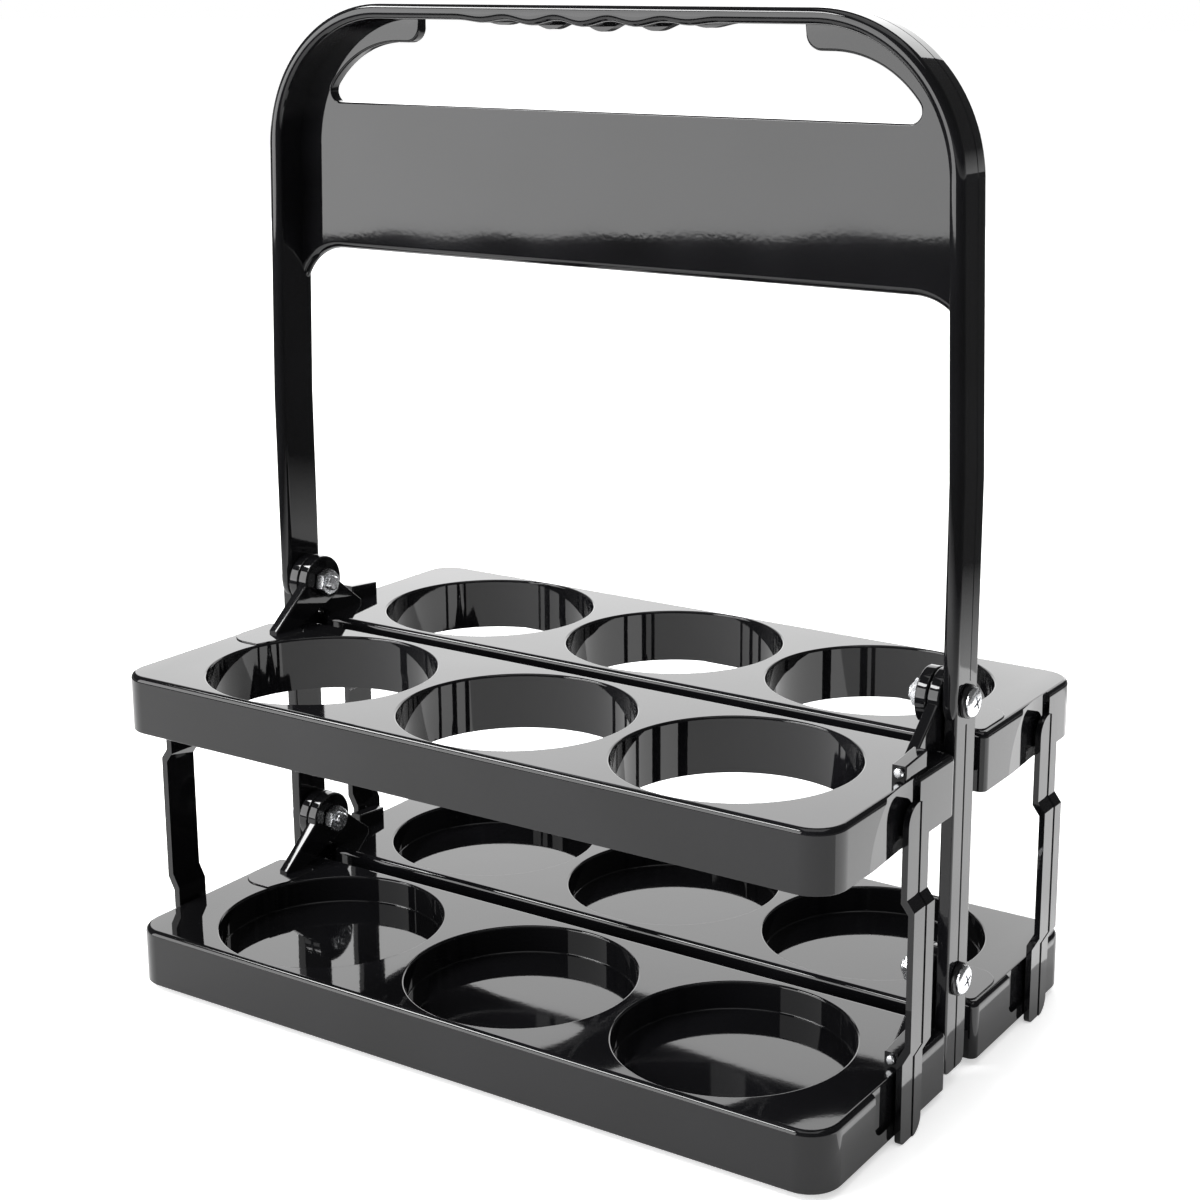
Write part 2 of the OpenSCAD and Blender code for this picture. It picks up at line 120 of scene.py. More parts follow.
def makeMouldedBlack():
    # Black ABS from a polished mould: deep black with a sharp, slightly wavy gloss
    material, tree, place = startMaterial("mouldedBlackAbs")
    wave = addNode(tree, "ShaderNodeTexNoise",
                   {"Scale": 1000 / mouldedBlack["flow"], "Detail": 1.0, "Roughness": 0.4},
                   {"Vector": place})
    peel = addNode(tree, "ShaderNodeTexNoise",
                   {"Scale": 1000 / mouldedBlack["grain"], "Detail": 1.0}, {"Vector": place})
    tint = addNode(tree, "ShaderNodeValToRGB", links={"Fac": wave.outputs[0]})
    tint.color_ramp.elements[0].position = 0.3
    tint.color_ramp.elements[0].color = toLinear(mouldedBlack["deep"])
    tint.color_ramp.elements[1].position = 0.75
    tint.color_ramp.elements[1].color = toLinear(mouldedBlack["worn"])
    gloss = addNode(tree, "ShaderNodeMapRange",
                    {"From Min": 0.3, "From Max": 0.7, "To Min": mouldedBlack["roughness"][0],
                     "To Max": mouldedBlack["roughness"][1]}, {"Value": wave.outputs[0]})
    low = addNode(tree, "ShaderNodeBump",
                  {"Strength": mouldedBlack["flowDepth"], "Distance": 0.002},
                  {"Height": wave.outputs[0]})
    fine = addNode(tree, "ShaderNodeBump",
                   {"Strength": mouldedBlack["grainDepth"], "Distance": 0.0002},
                   {"Height": peel.outputs[0], "Normal": low.outputs[0]})
    shader = addNode(tree, "ShaderNodeBsdfPrincipled",
                     {"IOR": 1.5, "Specular IOR Level": 0.35},
                     {"Base Color": tint.outputs[0], "Roughness": gloss.outputs[0],
                      "Normal": fine.outputs[0]})
    endMaterial(tree, shader)
    return material


def makeSatinBlack():
    # Black nylon, turned or pressed: dull next to the polished moulding
    material, tree, place = startMaterial("satinBlackNylon")
    grain = addNode(tree, "ShaderNodeTexNoise", {"Scale": 2500, "Detail": 2.0}, {"Vector": place})
    rough = addNode(tree, "ShaderNodeMapRange",
                    {"To Min": 0.3, "To Max": 0.45}, {"Value": grain.outputs[0]})
    bump = addNode(tree, "ShaderNodeBump", {"Strength": 0.08, "Distance": 0.0002},
                   {"Height": grain.outputs[0]})
    shader = addNode(tree, "ShaderNodeBsdfPrincipled",
                     {"Base Color": toLinear("#101012"), "IOR": 1.53},
                     {"Roughness": rough.outputs[0], "Normal": bump.outputs[0]})
    endMaterial(tree, shader)
    return material


def makeZincSteel():
    # Steel with bright zinc: nearly white, with faint tumbled marks
    material, tree, place = startMaterial("brightZincSteel")
    marks = addNode(tree, "ShaderNodeTexNoise",
                    {"Scale": 900, "Detail": 3.0, "Distortion": 0.6}, {"Vector": place})
    tint = addNode(tree, "ShaderNodeValToRGB", links={"Fac": marks.outputs[0]})
    tint.color_ramp.elements[0].color = toLinear("#d4d6da")
    tint.color_ramp.elements[1].color = toLinear("#f3f4f5")
    rough = addNode(tree, "ShaderNodeMapRange",
                    {"To Min": 0.18, "To Max": 0.34}, {"Value": marks.outputs[0]})
    bump = addNode(tree, "ShaderNodeBump", {"Strength": 0.12, "Distance": 0.0002},
                   {"Height": marks.outputs[0]})
    shader = addNode(tree, "ShaderNodeBsdfPrincipled", {"Metallic": 1.0},
                     {"Base Color": tint.outputs[0], "Roughness": rough.outputs[0],
                      "Normal": bump.outputs[0]})
    endMaterial(tree, shader)
    return material


materials = {"black_plastic": makeMouldedBlack(), "washer_plastic": makeSatinBlack(),
             "bright_steel": makeZincSteel()}
print("carrier: materials made")


# Mesh helpers

def drawFace(start, steps):
    # A flat face in X and Y. A step of two numbers is a line to a point, and a step of
    # four is an arc: its centre, its angle in degrees and its number of segments
    bm = bmesh.new()
    first = last = bm.verts.new((start[0], start[1], 0))
    for step in steps:
        if len(step) == 2:
            last = bmesh.ops.extrude_vert_indiv(bm, verts=[last])["verts"][0]
            last.co = (step[0], step[1], 0)
        else:
            out = bmesh.ops.spin(bm, geom=[last], cent=(step[0], step[1], 0), axis=(0, 0, 1),
                                 angle=math.radians(step[2]), steps=step[3])
            last = [v for v in out["geom_last"] if isinstance(v, bmesh.types.BMVert)][0]
    if (last.co - first.co).length < 0.01:
        bmesh.ops.pointmerge(bm, verts=[first, last], merge_co=first.co)
    else:
        bm.edges.new((last, first))
    bmesh.ops.remove_doubles(bm, verts=bm.verts, dist=0.001)
    bmesh.ops.contextual_create(bm, geom=bm.edges[:])
    return bm


def drawBox(low, high):    # a rectangle in X and Y
    return drawFace(low, [(high[0], low[1]), (high[0], high[1]), (low[0], high[1])])


def roundCorners(bm, corners, segments=6):
    # corners maps a radius to the points that it rounds, on a flat face with straight sides
    for radius, points in corners:
        picked = [v for v in bm.verts if any((v.co.xy - Vector(p)).length < 0.01 for p in points)]
        bmesh.ops.bevel(bm, geom=picked, offset=radius, offset_type="OFFSET", segments=segments,
                        profile=0.5, affect="VERTICES", material=-1, clamp_overlap=False)
    return bm


def roundEdges(bm, edges, radius, segments=3):
    bmesh.ops.bevel(bm, geom=list(edges), offset=radius, offset_type="OFFSET", segments=segments,
                    profile=0.5, affect="EDGES", material=-1, loop_slide=False,
                    clamp_overlap=False)
    return bm


def thicken(bm, low, high, edge=0.0, topEdge=None, segments=3):
    # Makes a flat face a slab from low to high along Z, with rounded rims
    bmesh.ops.translate(bm, verts=bm.verts, vec=(0, 0, low))
    out = bmesh.ops.extrude_face_region(bm, geom=bm.faces[:])
    raised = [v for v in out["geom"] if isinstance(v, bmesh.types.BMVert)]
    bmesh.ops.translate(bm, verts=raised, vec=(0, 0, high - low))
    bmesh.ops.recalc_face_normals(bm, faces=bm.faces)
    for height, radius in ((low, edge), (high, edge if topEdge is None else topEdge)):
        if radius > 0:
            picked = [e for e in bm.edges if all(abs(v.co.z - height) < 1e-4 for v in e.verts)
                      and len(e.link_faces) == 2 and e.calc_face_angle(0) > 0.5]
            roundEdges(bm, picked, radius, segments)
    return bm


def place(bm, matrix):
    bmesh.ops.transform(bm, matrix=matrix, verts=bm.verts)
    if matrix.determinant() < 0:
        bmesh.ops.reverse_faces(bm, faces=bm.faces)
    return bm


def alongX(bm):    # what was drawn in X and Y is now in Y and Z, and its height runs along X
    return place(bm, Matrix(((0, 0, 1, 0), (1, 0, 0, 0), (0, 1, 0, 0), (0, 0, 0, 1))))


def alongY(bm):    # what was drawn in X and Y is now in X and Z, and its height runs along Y
    return place(bm, Matrix(((1, 0, 0, 0), (0, 0, 1, 0), (0, 1, 0, 0), (0, 0, 0, 1))))


def moved(bm, x=0.0, y=0.0, z=0.0):
    return place(bm, Matrix.Translation((x, y, z)))


def halfTurn(bm):
    return place(bm, Matrix.Rotation(math.pi, 4, "Z"))


def copied(bm):
    return bm.copy()


def turned(profile, steps=96, axis="Z"):
    # A solid of revolution. The profile runs through (radius, height) points, from the axis
    # back to the axis
    bm = bmesh.new()
    chain = [bm.verts.new((r, 0, z)) for r, z in profile]
    edges = [bm.edges.new(pair) for pair in zip(chain, chain[1:])]
    bmesh.ops.spin(bm, geom=chain + edges, cent=(0, 0, 0), axis=(0, 0, 1), angle=2 * math.pi,
                   steps=steps, use_merge=True)
    bmesh.ops.remove_doubles(bm, verts=bm.verts, dist=0.001)
    bmesh.ops.dissolve_degenerate(bm, edges=bm.edges, dist=0.0005)
    bmesh.ops.recalc_face_normals(bm, faces=bm.faces)
    return place(bm, Matrix.Rotation(math.pi / 2, 4, "Y")) if axis == "X" else bm


def filletPoints(cx, cz, radius, start, end, count=5):    # angles in degrees
    angles = [math.radians(start + (end - start) * i / count) for i in range(count + 1)]
    return [(cx + radius * math.cos(a), cz + radius * math.sin(a)) for a in angles]


def combined(base, operation, *tools):
    # Joins or cuts the base with each tool in turn, as the Boolean modifier does
    scene = bpy.context.scene
    for tool in tools:
        pair = []
        for bm in (base, tool):
            mesh = bpy.data.meshes.new("shape")
            bm.to_mesh(mesh)
            pair.append(bpy.data.objects.new("shape", mesh))
            scene.collection.objects.link(pair[-1])
        cut = pair[0].modifiers.new("cut", "BOOLEAN")
        cut.operation, cut.object, cut.solver = operation, pair[1], "MANIFOLD"
        ready = pair[0].evaluated_get(bpy.context.evaluated_depsgraph_get())
        result = bpy.data.meshes.new_from_object(ready)
        base.clear()
        base.from_mesh(result)
        bpy.data.meshes.remove(result)
        for obj in pair:
            mesh = obj.data
            bpy.data.objects.remove(obj)
            bpy.data.meshes.remove(mesh)
        tool.free()
    bmesh.ops.remove_doubles(base, verts=base.verts, dist=0.002)
    bmesh.ops.dissolve_degenerate(base, edges=base.edges, dist=0.001)
    return base


def finishPiece(name, bm, slot, body, *nodes, bevel=0.0, angle=32):
    bmesh.ops.recalc_face_normals(bm, faces=bm.faces)
    bmesh.ops.transform(bm, matrix=Matrix.Scale(millimetre, 4), verts=bm.verts)
    mesh = bpy.data.meshes.new(name)
    bm.to_mesh(mesh)
    bm.free()
    mesh.polygons.foreach_set("use_smooth", [True] * len(mesh.polygons))
    mesh.set_sharp_from_angle(angle=math.radians(angle))
    mesh.materials.append(materials[slot])
    obj = bpy.data.objects.new(name, mesh)
    bpy.context.scene.collection.objects.link(obj)
    if bevel:
        soft = obj.modifiers.new("edges", "BEVEL")
        soft.width, soft.segments = bevel * millimetre, 2
        soft.limit_method, soft.angle_limit = "ANGLE", math.radians(38)
        soft.use_clamp_overlap = True
    even = obj.modifiers.new("normals", "WEIGHTED_NORMAL")
    even.keep_sharp = True
    even.weight = 80
    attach(obj, body)
    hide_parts(*nodes)
    return obj


# Trays

tray = {
    "halfLength": 128.4, "inner": 3.85, "outer": 81.75,
    "skirt": 18.5, "wall": 1.9,
    "corner": 10.0, "innerCorner": 2.5, "edge": 1.8,
    "notchX": 118.85, "notchOuter": 7.1, "notchInner": 12.5,
    "cupRadius": 36.0, "pitch": 77.1, "cupY": 43.5,
    "collar": 17.8, "cupDepth": 9.0, "floor": 1.4, "rim": 0.8,
    "earOuter": 119.0, "earInner": 115.0, "earThick": 3.7, "earRadius": 8.75,
    "heelY": 23.6, "heelUp": 1.2,
    "blockX": (122.0, 126.6), "blockY": (-35.6, -22.6), "blockUp": 4.2,
    "pinX": 124.5, "pinUp": 2.1, "pinBore": 3.16,
    "padX": (-126.6, -110.4), "padY": (-35.6, -14.3), "padUp": 0.4,
    "padCorner": 8, "padSmall": 2.4,
    "webHalf": 0.95, "liner": 1.6, "linerEnd": 7, "pinHole": (22.6, 40),
}
linkPlace = {"outer": -35.0, "inner": -54.5, "drop": 11.4, "stud": 4.8,
             "cut": (118, 135)}
recess = {"deep": 1.2, "fanRadius": 24.5, "fanDrop": 9.0,
          "pocketWide": 17.5, "pocketDown": 14.0, "pocketCorner": 4.0}


def trayOutline(inset):
    t = tray
    x, low, high = t["halfLength"] - inset, inset - t["outer"], -t["inner"] - inset
    notch, right, left = t["notchX"] - inset, -t["notchOuter"] - inset, -t["notchInner"] - inset
    bm = drawFace((-x, low), [(x, low), (x, right), (notch, right), (notch, high),
                              (-notch, high), (-notch, left), (-x, left)])
    return roundCorners(bm, [
        (t["corner"] - inset, [(-x, low), (x, low)]),
        (t["innerCorner"] - min(inset, 1.5), [(x, right), (notch, high), (-notch, high),
                                              (-x, left)])], 10)


def earShape(lowX, footY):
    t = tray
    r, up = t["earRadius"], hinge["up"]
    bm = drawFace((-t["heelY"], -1.0), [
        (-t["heelY"], t["heelUp"]), (-r, up), (0, up, -225, 30), (footY, 0), (footY, -1.0)])
    thicken(bm, lowX, lowX + t["earThick"], 0.5)
    return alongX(bm)


def endFeature(bm, outer):    # moves a shape made at y = 0 on the right to one of the links
    if outer:
        return moved(bm, y=linkPlace["outer"])
    return moved(halfTurn(bm), y=linkPlace["inner"])


def fanRecess():
    # A ramp that deepens towards the link, inside a circle that is open at the bottom
    near, x, deep = 5.0, tray["halfLength"], recess["deep"]
    ramp = thicken(drawFace((x, -recess["fanRadius"]), [
        (x - deep, -near), (x - deep, near), (x + 2, near), (x + 2, -recess["fanRadius"])]),
        -30, 5)
    disc = turned([(0, x - 4), (recess["fanRadius"], x - 4), (recess["fanRadius"], x + 4),
                   (0, x + 4)], 96, "X")
    moved(disc, z=-linkPlace["drop"] - recess["fanDrop"])
    return combined(ramp, "INTERSECT", disc)


def pocketRecess():
    x, near, c = tray["halfLength"], 5.0, recess["pocketCorner"]
    bm = drawFace((-recess["pocketWide"], 2), [
        (-recess["pocketWide"], c - recess["pocketDown"]),
        (c - recess["pocketWide"], c - recess["pocketDown"], 90, 8),
        (near, -recess["pocketDown"]), (near, 2)])
    return alongX(thicken(bm, x - recess["deep"], x + 2))


def cupCutter(lower):
    t = tray
    r, rim = t["cupRadius"], t["rim"]
    depth = t["cupDepth"] if lower else t["skirt"] + 1
    bottom = [(0, -depth)]
    if lower:
        bottom += filletPoints(r - 0.5, 0.5 - depth, 0.5, 270, 360, 3)
    else:
        bottom += [(r, -depth)]
    return turned(bottom + filletPoints(r + rim, -rim, rim, 180, 90, 6)
                  + [(r + rim, 2), (0, 2)], 160)


def trayShape(lower):
    t = tray
    shell = thicken(trayOutline(0), -t["skirt"], 0, 0.35, t["edge"], 6)
    hollow = thicken(trayOutline(t["wall"]), -t["skirt"] - 2, -t["wall"], 0)
    combined(shell, "DIFFERENCE", hollow)
    depth = t["cupDepth"] + t["floor"] if lower else t["collar"]
    for x in (-t["pitch"], 0, t["pitch"]):
        outside = t["cupRadius"] + t["wall"]
        collar = turned([(0, -depth), (outside - 0.4, -depth), (outside, 0.4 - depth),
                         (outside, -1), (0, -1)], 160)
        combined(shell, "UNION", moved(collar, x=x, y=-t["cupY"]))
    for x in (-t["pitch"] / 2, t["pitch"] / 2):
        web = drawBox((x - t["webHalf"], 1 - t["outer"]),
                      (x + t["webHalf"], -t["inner"] - 1))
        combined(shell, "UNION", thicken(web, -t["collar"], -1))
    for outer in (True, False):
        wallX = t["halfLength"] - t["wall"]
        liner = thicken(drawBox((wallX - t["liner"], -recess["fanRadius"]),
                                (wallX + 1, t["linerEnd"])),
                        -t["skirt"] + 0.02, -1)
        combined(shell, "UNION", endFeature(liner, outer))
    combined(shell, "UNION", earShape(t["earOuter"], -t["notchOuter"] - 0.3))
    combined(shell, "UNION", earShape(-t["earInner"] - t["earThick"], -t["notchInner"] - 0.3))
    (x0, x1), (y0, y1) = t["blockX"], t["blockY"]
    block = alongX(thicken(drawFace((y0, -1), [(y0, t["blockUp"]), (y1, t["blockUp"] + 1.2),
                                               (y1, -1)]), x0 + 0.02, x1, 0.5))
    combined(shell, "UNION", block)
    (x0, x1), (y0, y1) = t["padX"], t["padY"]
    pad = roundCorners(drawBox((x0, y0), (x1, y1)), [
        (t["padCorner"], [(x0, y0)]),
        (t["padSmall"], [(x1, y0), (x1, y1), (x0, y1)])], 8)
    combined(shell, "UNION", thicken(pad, -1, t["padUp"], 0, 0.3))
    for x in (-t["pitch"], 0, t["pitch"]):
        combined(shell, "DIFFERENCE", moved(cupCutter(lower), x=x, y=-t["cupY"]))
    for outer in (True, False):
        cutter = pocketRecess() if lower else fanRecess()
        combined(shell, "DIFFERENCE", endFeature(cutter, outer))
        size = linkPlace["stud"] / 2 + (0.3 if lower else 0.08)
        x0, x1 = linkPlace["cut"]
        stud = turned([(0, x0), (size, x0), (size, x1), (0, x1)], 32, "X")
        combined(shell, "DIFFERENCE", endFeature(moved(stud, z=-linkPlace["drop"]), outer))
    bore = turned([(0, -130), (hinge["bore"] / 2, -130), (hinge["bore"] / 2, 130), (0, 130)],
                  48, "X")
    combined(shell, "DIFFERENCE", moved(bore, z=hinge["up"]))
    (y0, y1), r = t["pinHole"], t["pinBore"] / 2
    pinHole = turned([(0, y0), (r, y0), (r, y1), (0, y1)], 32)
    place(pinHole, Matrix.Rotation(math.pi / 2, 4, "X"))
    combined(shell, "DIFFERENCE", moved(pinHole, x=t["pinX"], z=t["pinUp"]))
    return shell


for level in ("lower", "upper"):
    front = trayShape(level == "lower")
    back = halfTurn(copied(front))
    for side, bm in (("front", front), ("back", back)):
        finishPiece(f"moulded_tray_{level}_{side}", moved(bm, z=levels[level]), "black_plastic",
                    f"{level}_{side}_tray", f"tray_{level}_{side}")
    print("carrier:", level, "trays made")


# Links

link = {
    "x": 128.7, "thick": 1.9, "wide": 12.0, "jog": 2.4,
    "ridgeUp": 0.3, "ridgeWide": 4.8,
    "jogLow": (25.2, 29.7), "jogHigh": (71.4, 74.6), "top": 101.5,
    "studTip": 123.6, "barb": 0.8, "trim": (120, 140),
}


def linkSide(thick):    # the side view of a link in X and Z
    x, out, slope = link["x"], link["x"] + thick, link["jog"] / 2
    (a, b), (c, d), jog = link["jogLow"], link["jogHigh"], link["jog"]
    return drawFace((x, 0), [
        (out, 0), (out, a), (out + jog, b), (out + jog, c), (out, d), (out, link["top"]),
        (x, link["top"]), (x, d - slope), (x + jog, c - slope), (x + jog, b + slope),
        (x, a + slope)])


def linkShape():
    half = link["wide"] / 2
    strip = alongY(thicken(linkSide(link["thick"]), -half, half))
    ridge = alongY(thicken(linkSide(link["thick"] + link["ridgeUp"]), half - link["ridgeWide"],
                           half - 0.01))
    combined(strip, "UNION", ridge)
    ends = drawFace((-half, link["top"] - half), [
        (-half, 2), (2 - half, 2, 90, 8), (half - 5, 0), (half - 5, 5, 90, 10),
        (half, link["top"] - half), (0, link["top"] - half, 180, 24)])
    combined(strip, "INTERSECT", alongX(thicken(ends, *link["trim"])))
    for level in ("lower", "upper"):
        r, tip = linkPlace["stud"] / 2, link["studTip"]
        stud = turned([(0, tip), (r, tip), (r + link["barb"], tip + 0.5),
                       (r + link["barb"], tip + 1), (r, tip + 1), (r, link["x"] + 1),
                       (0, link["x"] + 1)], 32, "X")
        combined(strip, "UNION", moved(stud, z=levels[level] - linkPlace["drop"]))
    return strip


plainLink = linkShape()
for back in (False, True):
    for left in (False, True):
        bm = endFeature(copied(plainLink), back == left)
        if back:
            halfTurn(bm)
        name = f"{'back' if back else 'front'}_{'left' if left else 'right'}"
        finishPiece(f"moulded_link_{name}", bm, "black_plastic", f"{name}_link", f"link_{name}",
                    bevel=0.35)
plainLink.free()
print("carrier: links made")


# The handle frame

handle = {
    "legX": 127.7, "cornerX": 78.0, "cornerUp": 266.2, "radius": 47.0, "top": 313.2,
    "kneeUp": 185.0, "rimWide": 16.0, "rimThick": 4.7,
    "outerEdge": 2.2, "innerEdge": 1.9,
    "legWide": 13.2, "legThick": 4.1, "legUp": 5.0, "legCorner": 3.0,
    "grooveWide": 1.0, "grooveDeep": 0.6,
    "panelY": (3.0, 7.0), "panelLow": 234.5, "panelCorner": 18.0, "panelEdge": 1.2,
    "panelFront": 2.6, "holeEdge": 0.8,
    "holeLow": 282.0, "holeRadius": 35.0, "holeCorner": 3.5, "bandEnd": 69.5, "bandCorner": 5.0,
    "bumps": 5, "bumpPitch": 19.0, "bumpDeep": 1.6, "combDeep": 3.0,
    "seamY": (1.35, 1.6, 1.85), "seamDeep": 0.16,    # parting line of the mould
    "leanSteps": 6, "cornerSteps": 32, "barSteps": 78,
}


def bumpAt(x):    # share of the full depth of the finger bumps at x
    h = handle
    half = h["bumps"] * h["bumpPitch"] / 2
    if abs(x) >= half:
        return 0.0
    return (math.cos(math.pi / 2 * x / (half + 8)) * (1 + math.cos(2 * math.pi * x
            / h["bumpPitch"])) / 2)


def rimShape():
    # The rim is one section drawn out up the leg, round the corner and along the bar
    h = handle
    x, inside, y = h["legX"], h["legX"] - h["rimThick"], h["rimWide"] / 2
    s0, s1, s2 = h["seamY"]
    bm = drawFace((inside, -y), [(x, -y), (x, s0), (x - h["seamDeep"], s1), (x, s2), (x, y),
                                 (inside, y)])
    roundCorners(bm, [(h["outerEdge"], [(x, -y), (x, y)]),
                      (h["innerEdge"], [(inside, -y), (inside, y)])], 6)
    hingeUp = levels["upper"] + hinge["up"]
    bmesh.ops.translate(bm, verts=bm.verts, vec=(0, 0, hingeUp))
    cap = list(bm.faces)

    def draw(step):
        out = bmesh.ops.extrude_face_region(bm, geom=cap[:])
        bmesh.ops.translate(bm, vec=step,
                            verts=[v for v in out["geom"] if isinstance(v, bmesh.types.BMVert)])
        cap[:] = [f for f in out["geom"] if isinstance(f, bmesh.types.BMFace)]

    draw((0, 0, h["kneeUp"] - hingeUp))
    lean = h["cornerX"] + h["radius"] - h["legX"]
    for i in range(h["leanSteps"]):
        draw((lean / h["leanSteps"], 0, (h["cornerUp"] - h["kneeUp"]) / h["leanSteps"]))
    out = bmesh.ops.spin(bm, geom=cap[:], cent=(h["cornerX"], 0, h["cornerUp"]), axis=(0, -1, 0),
                         angle=math.pi / 2, steps=h["cornerSteps"])
    cap[:] = [f for f in out["geom_last"] if isinstance(f, bmesh.types.BMFace)]
    for i in range(h["barSteps"]):
        draw((-h["cornerX"] / h["barSteps"], 0, 0))
    sections = [f for f in bm.faces if len(f.verts) > 4]    # each draw leaves its first face
    bmesh.ops.delete(bm, geom=sections, context="FACES_ONLY")
    for v in bm.verts:
        if v.co.z > h["top"] - h["rimThick"] - 0.1 and v.co.z < h["top"] - h["rimThick"] / 2:
            v.co.z -= h["bumpDeep"] * bumpAt(v.co.x)
    bmesh.ops.mirror(bm, geom=bm.verts[:] + bm.edges[:] + bm.faces[:], axis="X",
                     merge_dist=0.01)
    bmesh.ops.recalc_face_normals(bm, faces=bm.faces)
    return bm


def legShape():    # a right leg below the upper bolt, with the rim's round end above it
    h = handle
    up = levels["upper"] + hinge["up"]
    half, c, low = h["legWide"] / 2, h["legCorner"], h["legUp"]
    bm = drawFace((-half, up), [(-half, low + c), (c - half, low + c, 90, 8), (half - c, low),
                                (half - c, low + c, 90, 8), (half, up)])
    leg = alongX(thicken(bm, h["legX"] - h["legThick"], h["legX"] - 0.03, 0.7))
    gap, deep = h["grooveWide"] / 2, h["grooveDeep"]
    groove = drawFace((h["legX"] - deep, -gap * 0.7), [(h["legX"] - deep, gap * 0.7),
                      (h["legX"] + 0.3, gap * 1.3), (h["legX"] + 0.3, -gap * 1.3)])
    combined(leg, "DIFFERENCE", thicken(groove, 0, up - h["rimWide"] / 2 + 1))
    r, inside = h["rimWide"] / 2, h["legX"] - h["rimThick"]
    end = turned([(0, inside)] + filletPoints(r - h["innerEdge"], inside + h["innerEdge"],
                                              h["innerEdge"], -90, 0, 6)
                 + filletPoints(r - h["outerEdge"], h["legX"] - h["outerEdge"], h["outerEdge"],
                                0, 90, 6) + [(0, h["legX"])], 96, "X")
    return combined(leg, "UNION", moved(end, z=up))


def panelShape():
    h = handle
    legIn = h["legX"] - h["rimThick"] + 0.2
    x, mid = h["cornerX"], h["rimThick"] / 2
    r, low = h["radius"] - mid, h["panelLow"]
    bend = h["panelCorner"]
    bm = drawFace((legIn - bend, low), [
        (legIn - bend, low - bend, -90, 14), (legIn + 2, low - bend), (x + r, h["cornerUp"]),
        (x, h["cornerUp"], 90, 32), (-x, h["cornerUp"] + r), (-x, h["cornerUp"], 90, 32),
        (-legIn - 2, low - bend), (-legIn, low - bend), (bend - legIn, low - bend, -90, 14)])
    y0, y1 = h["panelY"]
    thicken(bm, y0, y1, h["panelFront"], h["panelEdge"], 6)
    panel = combined(alongY(bm), "DIFFERENCE", holeCutter())
    rims = [e for e in panel.edges if len(e.link_faces) == 2 and e.calc_face_angle(0) > 1
            and all(min(abs(v.co.y - y0), abs(v.co.y - y1)) < 0.01 for v in e.verts)]
    return roundEdges(panel, rims, h["holeEdge"], 3)


def handHole():
    # The right half of the hand hole, in X and Z
    h = handle
    r, c, x, up = h["holeRadius"], h["holeCorner"], h["cornerX"], h["cornerUp"]
    rise = h["holeLow"] + c - up
    run = math.sqrt((r - c) ** 2 - rise ** 2)
    first = math.degrees(math.atan2(rise, run))
    band, end = h["bandCorner"], h["bandEnd"]
    bm = drawFace((0, h["holeLow"]), [
        (x + run, h["holeLow"]), (x + run, h["holeLow"] + c, 90 + first, 10),
        (x, up, 90 - first, 28), (end + band, up + r), (end + band, up + r + band, -90, 10),
        (end, h["top"] - h["rimThick"] + 1), (0, h["top"] - h["rimThick"] + 1)])
    return bm


def holeCutter():
    # The whole hand hole, as a block that goes through the panel
    h = handle
    y0, y1 = h["panelY"]
    bm = handHole()
    bmesh.ops.mirror(bm, geom=bm.verts[:] + bm.edges[:] + bm.faces[:], axis="X", merge_dist=0.01)
    bmesh.ops.dissolve_limit(bm, angle_limit=0.001, verts=bm.verts, edges=bm.edges)
    bmesh.ops.recalc_face_normals(bm, faces=bm.faces)
    return alongY(thicken(bm, y0 - 2, y1 + 2))


def combShape():
    h = handle
    half, low = h["bumps"] * h["bumpPitch"] / 2, h["top"] - h["rimThick"]
    bm = drawBox((-half, low), (half, low + 2))
    below = [e for e in bm.edges if all(v.co.y < low + 0.1 for v in e.verts)]
    bmesh.ops.subdivide_edges(bm, edges=below, cuts=79)
    for v in bm.verts:
        if v.co.y < low + 0.1:
            v.co.y -= h["combDeep"] * bumpAt(v.co.x)
    y0, y1 = h["panelY"]
    return alongY(thicken(bm, y0, y1))


def handleShape():
    h = handle
    rim = rimShape()
    right = legShape()
    left = halfTurn(copied(right))
    bmesh.ops.holes_fill(rim, edges=[e for e in rim.edges if e.is_boundary], sides=0)
    bmesh.ops.recalc_face_normals(rim, faces=rim.faces)
    combined(rim, "UNION", right, left)
    combined(rim, "UNION", panelShape())
    combined(rim, "UNION", combShape())
    for level in ("lower", "upper"):
        bore = turned([(0, -135), (hinge["bore"] / 2, -135), (hinge["bore"] / 2, 135), (0, 135)],
                      48, "X")
        combined(rim, "DIFFERENCE", moved(bore, z=levels[level] + hinge["up"]))
    return rim


finishPiece("moulded_handle_frame", handleShape(), "black_plastic", "frame", "handle_frame",
            "handle_panel")
print("carrier: handle frame made")


# Bolts, nuts, washers and pins

fastener = {
    "washerX": 127.7, "washerThick": 1.5, "washerSize": 10.0,
    "headThick": 1.8, "headSize": 8.8, "crossWide": 0.9, "crossLong": 4.6, "crossDeep": 1.1,
    "nutX": 111.5, "nutThick": 3.2, "nutFlats": 8.0, "nutTurn": 12, "tail": 109.9,
    "threads": 9, "threadPitch": 0.8, "threadDeep": 0.35,
}
pin = {"radius": 1.5, "low": 22.9, "high": 36.2, "round": 0.6}


